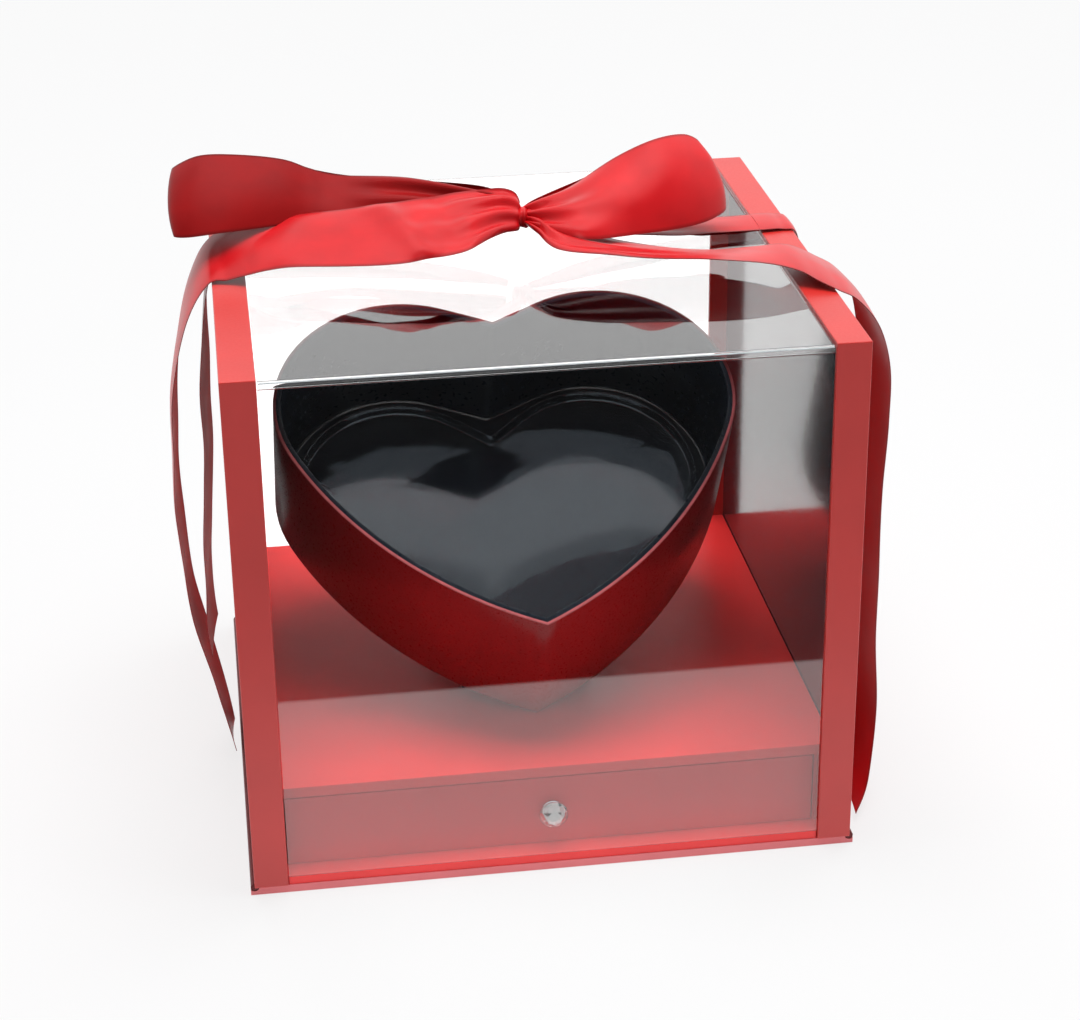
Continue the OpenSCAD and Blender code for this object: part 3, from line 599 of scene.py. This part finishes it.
def ribbonPiece(name, look):
    stations = look.get("before", []) + look["stations"] + look.get("after", [])
    near = [millimetres(station[0]) for station in stations]
    far = [millimetres(station[1]) for station in stations]
    pleats = [Vector((station[2] if len(station) > 2 else 0, 0, 0)) for station in stations]
    steps, across, lead = ribbonLook["steps"], ribbonLook["across"], len(look.get("before", []))
    total = (len(look["stations"]) - 1) * steps
    sections, lengths = [], [0.0]
    for i in range(total + 1):
        t = lead + i / steps
        run = curvePoint(near, t + 0.04) + curvePoint(far, t + 0.04)
        run -= curvePoint(near, max(t - 0.04, 0)) + curvePoint(far, max(t - 0.04, 0))
        sections.append((curvePoint(near, t), curvePoint(far, t), curvePoint(pleats, t).x, run.normalized()))
        if i:
            a, b = sections[i - 1], sections[i]
            lengths.append(lengths[-1] + (((b[0] + b[1]) - (a[0] + a[1])) / 2).length)
    rings = []
    for i, (a, b, pleat, run) in enumerate(sections):
        chord = b - a
        up = run.cross(chord.normalized()).normalized() * look["facing"]
        wide = chord.length
        # What the two edges leave of the width is folded back under the far edge
        under = max(min(ribbonLook["width"] - wide, 0.96 * wide), 0) if look.get("tuck") else 0
        calm = min(lengths[i], lengths[-1] - lengths[i], ribbonLook["calmEnds"]) / ribbonLook["calmEnds"]
        ring = []
        for j in range(across + 1):
            reach = (wide + under) * j / across
            tucked = max(reach - wide, 0)
            s = (reach - 2 * tucked) / wide
            crown = look["crown"] * wide * (1 - (2 * s - 1) ** 2)
            fold = pleat * 0.001 * math.sin(2 * math.pi * look.get("folds", 3) * s)
            spot = Vector((lengths[i] * ribbonLook["swellScale"], s * 1.5, look["seed"]))
            swell = ribbonLook["swell"] * calm * noise.noise(spot)
            for start, end, width, height in look.get("ridges", []):
                swell += (height * math.exp(-((lengths[i] - end - (start - end) * s) / width) ** 2)
                          * min(8 * s * (1 - s) + 0.3, 1))
            layer = ribbonLook["layerGap"] * min(tucked / 0.002, 1)
            ring.append(a + chord * s + up * (crown + fold + swell - layer))
        rings.append(ring)

    def layout(step, index):
        return (lengths[step], index / across)

    piece = sweepRings(name, rings, [look.get("side", "satin")], closed=False, layout=layout)
    bm = bmesh.new()
    bm.from_mesh(piece.data)
    for edge in bm.edges:
        edge.smooth = not edge.is_boundary
    bm.to_mesh(piece.data)
    bm.free()
    solid = piece.modifiers.new("thickness", "SOLIDIFY")
    solid.thickness = ribbonLook["thickness"]
    solid.offset = 0
    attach(piece, look["body"])
    for node in look.get("replaces", []):
        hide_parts(node)
    if "squash" in look:
        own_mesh(piece)
    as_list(look["restsOn"])


# A station is the near edge and the far edge of the ribbon, in millimetres, and the depth of its pleats.
# Those in before and after lie past the ends of a piece and only steer its curve.
ribbons = {
    # The left loop wears the satin painted darker, as painted shade
    "leftLoop": {
        "body": "base", "facing": -1, "crown": 0.06, "held": "gathered", "restsOn": ["leftBand", "bowKnot"],
        "replaces": ["bow_left_loop"], "side": "satinShaded", "seed": 1, "folds": 2.5, "stations": [
            ((-2, 3, 215), (-2, 9, 221), 1.6), ((-10, 1, 214), (-10, 13, 222), 1.3),
            ((-34, 3, 212.6), (-35, 23, 225), 1.1), ((-61, 10, 213), (-60, 31, 225)),
            ((-73, 11, 213.5), (-71, 32, 228)), ((-85, 8, 214.3), (-81, 32, 232)),
            ((-104, 3, 214.5), (-99, 32, 235)), ((-117, 3, 213.5), (-112, 32, 235)),
            ((-122.5, 7, 213), (-121.5, 34, 230)), ((-116, 16, 213), (-113, 42, 229)),
            ((-95, 18, 214), (-93, 44, 230.5)), ((-61, 16, 212), (-61, 40, 223), 0.5),
            ((-33, 10, 213), (-33, 27, 223), 1.2), ((-9, 6, 214), (-9, 17, 222.5), 1.2),
            ((-1, 4, 215), (-1, 11, 221), 1.4)]},
    "rightLoop": {
        "body": "base", "facing": 1, "crown": 0.1, "held": "gathered", "restsOn": ["rightStrap", "bowKnot"],
        "replaces": ["bow_right_loop"], "seed": 2, "folds": 2.5, "stations": [
            ((6.5, 0, 212), (6.5, 7, 216.5), 1.0), ((12, -10, 212.6), (13, 7, 218.8), 1.2),
            ((25, -20, 212), (25, 10, 223), 0.6), ((44, -14, 210.5), (42.5, 16, 231)),
            ((60, -9, 210), (57, 17.5, 236.5)), ((74, -3, 210.5), (70, 24, 236)),
            ((82.5, 6, 212), (75.5, 22.5, 233)), ((74, 13, 213), (66, 26, 232.5)),
            ((54, 7, 213.5), (50.5, 20, 230), 0.6), ((30, 5, 213.5), (28, 16, 222.5), 1.1),
            ((12, 4, 212.8), (12, 12, 218), 0.8), ((6.5, 3, 212), (6.5, 8, 216.5), 0.8)]},
    "leftBand": {
        "body": "base", "facing": -1, "crown": 0.04, "held": "gathered",
        "restsOn": ["leftCap", "leftDrop", "bowKnot"], "seed": 3,
        "ridges": [(0.056, 0.040, 0.005, 0.0018), (0.034, 0.026, 0.005, -0.0012),
                   (0.084, 0.092, 0.008, 0.0012)], "replaces": ["left_strap_top"], "stations": [
            ((3.2, -2, 210.8), (5, 7, 218.6), 0.3), ((2, -4, 211.2), (3.4, 8, 222), 0.4),
            ((-3, -8, 212), (-1, 9, 223.6), 0.7), ((-9, -15, 212.4), (-7, 11, 223), 1.0),
            ((-18, -24, 212), (-18, 11, 222.5), 0.7), ((-31, -27, 210.4), (-31, 7, 222.4), 0.3),
            ((-48, -28, 209.5), (-48, 5, 221)), ((-73, -23, 208.5), (-73, 12, 217)),
            ((-89, -19.5, 207), (-90, 18, 213.5)), ((-97, -15.5, 204.3), (-98, 20, 212))],
        "after": [((-104, -12.5, 201.8), (-105, 21, 210))]},
    "leftTailTop": {
        "body": "base", "facing": -1, "crown": 0.03, "held": "laid",
        "restsOn": ["leftCap", "leftTail", "bowKnot"], "seed": 10, "tuck": True,
        "replaces": ["left_tail_top"], "stations": [
            ((0, 7, 210.5), (0, 13, 211), 0.6), ((-11, 5, 208), (-11, 18, 208.4), 0.5),
            ((-38, 4, 204.6), (-38, 26, 205), 0.3), ((-71, 5, 202.2), (-71, 29, 202.2)),
            ((-98, 5, 200.8), (-98, 29, 200.8))],
        "after": [((-106, 4, 200.7), (-106, 27, 200.7))]},
    "rightStrap": {
        "body": "base", "facing": 1, "crown": 0.03, "held": "gathered",
        "restsOn": ["rightCap", "rightDrop", "bowKnot"], "seed": 4, "replaces": ["right_tail_top"],
        "stations": [
            ((6, 0, 212.5), (6, 6, 216), 0.8), ((9, -12, 212.6), (12, 5, 216), 1.2),
            ((15, -28, 211.4), (20, -2, 212.5), 0.8), ((37, -38, 210.8), (41, -7, 206), 0.3),
            ((66, -44, 210.2), (69, -15, 203.6)), ((84, -47, 209), (88, -20, 205.5)),
            ((97, -49.5, 206.2), (97, -23, 206.9))],
        "after": [((104, -54, 203.3), (104, -21.5, 204.6))]},
    "rightRearStrap": {
        "body": "base", "facing": 1, "crown": 0.02, "held": "laid",
        "restsOn": ["rightTail", "rightCap", "bowKnot"], "seed": 5, "tuck": True,
        "replaces": ["right_strap_top"], "stations": [
            ((8, 6, 212), (8, 13, 213), 0.5), ((30, 2, 207), (30, 20, 208), 0.4),
            ((58, 4, 203.5), (58, 24, 204), 0.3), ((79, 9, 201.5), (80, 27, 202)),
            ((97, 10, 201.2), (97, 29, 201.2))],
        "after": [((106, 11, 201), (106, 29, 201))]},
    "leftDrop": {
        "body": "left_cap", "facing": -1, "crown": 0.04, "held": "hung", "restsOn": ["leftCap"], "seed": 6,
        "replaces": ["left_strap_side"], "squash": "left_cap_hinge", "anchor": -0.1105,
        "before": [((-89, -19.5, 207), (-90, 18, 213.5))], "stations": [
            ((-97, -15.5, 204.3), (-98, 20, 212)), ((-104, -12.5, 201.8), (-105, 21, 210)),
            ((-111.5, -11.5, 199.8), (-114, 16, 203)), ((-121, -14, 185), (-121.5, 12, 184)),
            ((-127, -16, 158), (-125, 14, 157)), ((-129, -14, 130), (-127, 17, 129)),
            ((-129, -11, 102), (-127, 18, 102)), ((-127, -9, 70), (-125, 19, 70)),
            ((-120, -8, 34), (-118.5, 19, 34)), ((-115.4, -8, 14.5), (-115, 18, 14.5)),
            ((-113.4, -8, 3.5), (-113.4, 18, 3.5))]},
    "leftTail": {
        "body": "left_cap", "facing": -1, "crown": 0.02, "held": "hung", "restsOn": ["leftCap"], "seed": 7,
        "replaces": ["left_tail_side"], "squash": "left_cap_hinge", "anchor": -0.1105,
        "before": [((-71, 5, 202.2), (-71, 29, 202.2))], "stations": [
            ((-98, 5, 200.8), (-98, 29, 200.8)), ((-106, 2, 200.7), (-106, 27, 200.7)),
            ((-111.3, -4, 198.2), (-111.3, 22, 198.2)), ((-116.5, -10, 165), (-113, 18, 163)),
            ((-117.5, -9, 130), (-114, 20, 127)), ((-120, -9, 98), (-116, 21, 98)),
            ((-120.5, -8, 75), (-117.5, 22, 75)), ((-121, -7, 60), (-118, 22, 60)),
            ((-120, -6, 45), (-117, 21, 50))]},
    "rightDrop": {
        "body": "right_cap", "facing": 1, "crown": 0.03, "held": "hung", "restsOn": ["rightCap"], "seed": 8,
        "replaces": ["right_tail_side"], "squash": "right_cap_hinge", "anchor": 0.1105,
        "before": [((84, -47, 209), (88, -20, 205.5))], "stations": [
            ((97, -49.5, 206.2), (97, -23, 206.9)), ((104, -54, 203.3), (104, -21.5, 204.6)),
            ((110.4, -58.5, 200.9), (110.4, -22, 201.4)), ((117, -61, 197.5), (117.5, -24, 197)),
            ((126, -59, 186), (124, -24, 187)), ((130.5, -58, 170), (127, -25, 170)),
            ((130.5, -60, 150), (127, -25, 150)), ((129, -61, 120), (125, -26, 120)),
            ((129.5, -60, 90), (124, -26, 90)), ((129.5, -61, 60), (123, -27, 60)),
            ((130, -64, 30), (121, -30, 30)), ((124, -79, 10), (118, -46, 10)),
            ((116, -92, 3.5), (117, -60, 3.5))]},
    "rightTail": {
        "body": "right_cap", "facing": 1, "crown": 0.03, "held": "hung", "restsOn": ["rightCap"], "seed": 9,
        "replaces": ["right_strap_side"], "squash": "right_cap_hinge", "anchor": 0.1105,
        "before": [((79, 9, 201.5), (80, 27, 202))], "stations": [
            ((97, 10, 201.2), (97, 29, 201.2)), ((106, 11, 201), (106, 29, 201)),
            ((111.6, 10, 198.8), (111.6, 28, 198.8)), ((113.2, 8, 180), (113.2, 31, 180)),
            ((115, 4, 150), (114.5, 33, 150)), ((116, 1, 110), (115, 34, 110)),
            ((115, 0, 75), (114.5, 34, 72)), ((114, 0, 58), (113.5, 34, 44))]},
}
for name, look in ribbons.items():
    ribbonPiece(name, look)

knotLook = {"centre": (5.2, 4.0, 213.6), "length": 8.0, "radius": 4.3, "wraps": 64, "along": 22,
            "waist": 0.22, "endRound": 0.25, "fold": 0.35, "fineFold": 0.125, "flatten": 0.08}


def knotRing(angle):
    ring = []
    for j in range(knotLook["along"] + 1):
        s = j / knotLook["along"] * 2 - 1
        radius = knotLook["radius"] * (1 - knotLook["waist"] * s**2 - knotLook["endRound"] * s**8)
        radius += knotLook["fold"] * math.sin(7 * s + 0.8 * math.sin(angle))
        radius += knotLook["fineFold"] * math.sin(15 * s + 2 * angle)
        squeeze = 1 - knotLook["flatten"] * (1 - math.cos(2 * angle))
        ring.append(millimetres((knotLook["centre"][0] + s * knotLook["length"] / 2,
                                 knotLook["centre"][1] + radius * math.cos(angle),
                                 knotLook["centre"][2] + radius * squeeze * math.sin(angle))))
    return ring


wraps = knotLook["wraps"]
bowKnot = sweepRings("bowKnot", [knotRing(2 * math.pi * i / wraps) for i in range(wraps)], ["satin"],
                     closed=False, loop=False,
                     layout=lambda step, index: (step * 0.0007, index / knotLook["along"]))
bm = bmesh.new()
bm.from_mesh(bowKnot.data)
bm.verts.ensure_lookup_table()
bmesh.ops.bridge_loops(bm, edges=[edge for edge in bm.edges if edge.is_boundary and all(
    abs(math.atan2((v.co.z - knotLook["centre"][2] * 0.001),
                   (v.co.y - knotLook["centre"][1] * 0.001))) < 0.12 for v in edge.verts)
    and abs(edge.verts[0].co.x - edge.verts[1].co.x) > 1e-5])
bm.to_mesh(bowKnot.data)
bm.free()
for polygon in bowKnot.data.polygons:
    polygon.use_smooth = True
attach(bowKnot, "base")
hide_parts("bow_knot")
print("ribbon")

# Boards, linings and panes that stay as they are in the frame

nodeLooks = {
    "redPaperLit": ["base_board", "platform_board", "heart_floor"],
    "basePaperLit": ["base_sheet"],
    "drawerPaperLit": ["left_cheek", "right_cheek", "case_back_wall", "drawer_front", "drawer_bottom",
                    "drawer_left_wall", "drawer_right_wall", "drawer_back_wall"],
    "sideLining": ["left_lining", "right_lining"],
    # The stand under the heart is black card as painted shade, so it passes for the dark under the heart;
    # black card also lines the drawer
    "blackCard": ["drawer_lining", "stand_panel", "stand_gussets"],
    "clearSheet": ["window_top", "window_rear", "window_front"],
    "hingeCloth": ["left_hinge_roll", "right_hinge_roll"],
    "chrome": ["knob_screw", "knob_nut"],
}
bevels = {"base_sheet": 0.0004, "base_board": 0.0003, "platform_board": 0.0004, "drawer_front": 0.0005,
          "left_cheek": 0.0003, "right_cheek": 0.0003, "drawer_left_wall": 0.0003,
          "drawer_right_wall": 0.0003, "drawer_back_wall": 0.0003, "stand_panel": 0.0003,
          "stand_gussets": 0.0003}
for materialName, names in nodeLooks.items():
    for name in names:
        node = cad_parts[name]
        node.data.materials.clear()
        node.data.materials.append(materials[materialName])
        if name in bevels:
            addBevel(node, bevels[name])
print("frame nodes dressed")

# A light grey rod along the fold between the clear top and the clear front, as a painted highlight on the
# fold
creaseLook = {"radius": 0.00028, "inset": 0.0003, "sides": 12, "parts": 24}
windowLow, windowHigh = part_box("window_top")
creaseInset, creaseRadius = creaseLook["inset"], creaseLook["radius"]
creaseStart = Vector((windowLow.x + creaseInset, windowLow.y + creaseInset, windowHigh.z - creaseInset))
creaseLength = windowHigh.x - windowLow.x - 2 * creaseInset
turns = [2 * math.pi * k / creaseLook["sides"] for k in range(creaseLook["sides"])]
around = [(creaseRadius * math.cos(turn), creaseRadius * math.sin(turn)) for turn in turns]
creaseRings = []
for i in range(creaseLook["parts"] + 1):
    along = creaseLength * i / creaseLook["parts"]
    creaseRings.append([creaseStart + Vector((along, y, z)) for y, z in around])
foldHighlightRod = sweepRings("foldHighlightRod", creaseRings, ["crease"], capStart=True, capEnd=True)
smoothByAngle(foldHighlightRod, 50)
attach(foldHighlightRod, "base")

# Stage, lamps and camera

stageLook = {"floorColour": (0.82, 0.82, 0.83, 1), "seenColour": (0.16, 0.16, 0.162, 1), "seenGlow": 0.765,
             "farGlow": 0.93, "farFrom": 0.5, "farTo": 2.4, "clearGlow": 1.65, "clearBlend": 0.02,
             "bounceGlow": 0.45, "glossyGlow": 0.9, "glossyDark": 0.02, "glossyEnd": -0.2445,
             "glossyBlend": 0.0015, "worldStrength": 0.22, "roomStrength": 0.12, "roomFrom": -0.3,
             "roomTo": 0.02, "whiteStrength": 0.97}


def glow(nodes, strength):
    emission = nodes.new("ShaderNodeEmission")
    emission.inputs["Color"].default_value = (1, 1, 1, 1)
    emission.inputs["Strength"].default_value = strength
    return emission.outputs[0]


def addShaders(nodes, links, first, second):
    both = nodes.new("ShaderNodeAddShader")
    links.new(first, both.inputs[0])
    links.new(second, both.inputs[1])
    return both.outputs[0]


def chooseShader(nodes, links, factor, first, second):
    choice = nodes.new("ShaderNodeMixShader")
    links.new(factor, choice.inputs["Fac"])
    links.new(first, choice.inputs[1])
    links.new(second, choice.inputs[2])
    return choice.outputs[0]


def floorMaterial():
    material, nodes, links, shader, output = startMaterial("stageFloor")
    shader.inputs["Base Color"].default_value = stageLook["floorColour"]
    shader.inputs["Roughness"].default_value = 0.9
    shader.inputs["Specular IOR Level"].default_value = 0.0
    seen = nodes.new("ShaderNodeBsdfDiffuse")
    seen.inputs["Color"].default_value = stageLook["seenColour"]
    lightPath = nodes.new("ShaderNodeLightPath")
    surface = addShaders(nodes, links, shader.outputs[0], glow(nodes, stageLook["bounceGlow"]))
    # The eye sees a floor that gets whiter away from the box
    place = nodes.new("ShaderNodeNewGeometry").outputs["Position"]
    away = nodes.new("ShaderNodeVectorMath")
    away.operation = "LENGTH"
    links.new(place, away.inputs[0])
    far = mapRange(nodes, links, away.outputs["Value"], stageLook["farFrom"], stageLook["farTo"], 0, 1)
    seenLight = chooseShader(nodes, links, far, glow(nodes, stageLook["seenGlow"]),
                             glow(nodes, stageLook["farGlow"]))
    byEye = addShaders(nodes, links, seen.outputs[0], seenLight)
    surface = chooseShader(nodes, links, lightPath.outputs["Is Camera Ray"], surface, byEye)
    # Glossy sheets mirror a white floor that ends in the dark a little in front of the box
    split = nodes.new("ShaderNodeSeparateXYZ")
    links.new(place, split.inputs[0])
    end, blend = stageLook["glossyEnd"], stageLook["glossyBlend"]
    mirrored = mapRange(nodes, links, split.outputs["Y"], end - blend, end + blend, 0, 1)
    mirrored = chooseShader(nodes, links, mirrored, glow(nodes, stageLook["glossyDark"]),
                            glow(nodes, stageLook["glossyGlow"]))
    surface = chooseShader(nodes, links, lightPath.outputs["Is Glossy Ray"], surface, mirrored)
    # From the middle of the box backwards, the floor seen through the clear sheets is lit up to white
    behind = nodes.new("ShaderNodeMath")
    behind.operation = "MULTIPLY"
    links.new(lightPath.outputs["Is Transmission Ray"], behind.inputs[0])
    blend = stageLook["clearBlend"]
    links.new(mapRange(nodes, links, split.outputs["Y"], -blend, blend, 0, 1), behind.inputs[1])
    surface = chooseShader(nodes, links, behind.outputs[0], surface, glow(nodes, stageLook["clearGlow"]))
    links.new(surface, output.inputs["Surface"])
    return material


bm = bmesh.new()
bmesh.ops.create_grid(bm, x_segments=4, y_segments=4, size=4)
mesh = bpy.data.meshes.new("stageFloor")
bm.to_mesh(mesh)
bm.free()
floorPiece = bpy.data.objects.new("stageFloor", mesh)
bpy.context.scene.collection.objects.link(floorPiece)
mesh.materials.append(floorMaterial())
floorPiece.location = (0, 0, -0.0002)


def backdrop(nodes, strength):
    background = nodes.new("ShaderNodeBackground")
    background.inputs["Color"].default_value = (1, 1, 1, 1)
    background.inputs["Strength"].default_value = strength
    return background.outputs[0]


world = bpy.data.worlds.new("studio")
bpy.context.scene.world = world
world.use_nodes = True
nodes, links = world.node_tree.nodes, world.node_tree.links
nodes.remove(nodes["Background"])
lightPath = nodes.new("ShaderNodeLightPath")
split = nodes.new("ShaderNodeSeparateXYZ")
links.new(nodes.new("ShaderNodeTexCoord").outputs["Generated"], split.inputs[0])
towardRoom = mapRange(nodes, links, split.outputs["Y"], stageLook["roomFrom"], stageLook["roomTo"], 0, 1)
mirrored = chooseShader(nodes, links, towardRoom, backdrop(nodes, stageLook["roomStrength"]),
                        backdrop(nodes, stageLook["whiteStrength"]))
surface = chooseShader(nodes, links, lightPath.outputs["Is Glossy Ray"],
                       backdrop(nodes, stageLook["worldStrength"]), mirrored)
for name in ("Is Transmission Ray", "Is Camera Ray"):
    surface = chooseShader(nodes, links, lightPath.outputs[name], surface,
                           backdrop(nodes, stageLook["whiteStrength"]))
links.new(surface, nodes["World Output"].inputs["Surface"])


def addLamp(name, look):
    lamp = bpy.data.lights.new(name, "AREA")
    lamp.shape = "SQUARE"
    lamp.size = look["size"]
    lamp.energy = look["power"]
    piece = bpy.data.objects.new(name, lamp)
    bpy.context.scene.collection.objects.link(piece)
    place = Vector(look["place"])
    piece.location = place
    piece.rotation_euler = (Vector(look["target"]) - place).to_track_quat("-Z", "Y").to_euler()
    piece.visible_glossy = look["mirrored"]
    piece.visible_transmission = False


lamps = {
    "topSoftbox": {"place": (0.05, 0.18, 1.5), "target": (0, 0, 0.1), "size": 1.0, "power": 29,
                   "mirrored": False},
    "frontFill": {"place": (-0.8, -1.5, 0.9), "target": (0, 0, 0.1), "size": 1.2, "power": 0.12,
                  "mirrored": False},
    "satinLight": {"place": (-0.3, -0.9, 1.4), "target": (0, 0, 0.2), "size": 0.6, "power": 1.8,
                   "mirrored": True},
    "rightFill": {"place": (1.3, -0.4, 0.8), "target": (0, 0, 0.1), "size": 0.9, "power": 3.4,
                  "mirrored": False},
}
for name, look in lamps.items():
    addLamp(name, look)

# Worked out from the corners of the box in the photo; metres, degrees and a lens in millimetres
cameraLook = {"place": (-0.10761, -0.87277, 0.50892), "yaw": 7.676, "pitch": 25.148, "roll": -0.79,
              "lens": 83.41, "sensor": 36, "clipStart": 0.05}
yaw, pitch, roll = (math.radians(cameraLook[key]) for key in ("yaw", "pitch", "roll"))
forward = Vector((math.sin(yaw) * math.cos(pitch), math.cos(yaw) * math.cos(pitch), -math.sin(pitch)))
right = Vector((math.cos(yaw), -math.sin(yaw), 0))
up = right.cross(forward)
rightRolled = right * math.cos(roll) + up * math.sin(roll)
upRolled = up * math.cos(roll) - right * math.sin(roll)
camera = bpy.data.objects.new("camera", bpy.data.cameras.new("camera"))
bpy.context.scene.collection.objects.link(camera)
camera.data.lens = cameraLook["lens"]
camera.data.sensor_width = cameraLook["sensor"]
camera.data.clip_start = cameraLook["clipStart"]
turned = Matrix((rightRolled, upRolled, -forward)).transposed().to_4x4()
camera.matrix_world = Matrix.Translation(Vector(cameraLook["place"])) @ turned
bpy.context.scene.camera = camera
bpy.context.scene.view_settings.view_transform = "Standard"
print("stage")
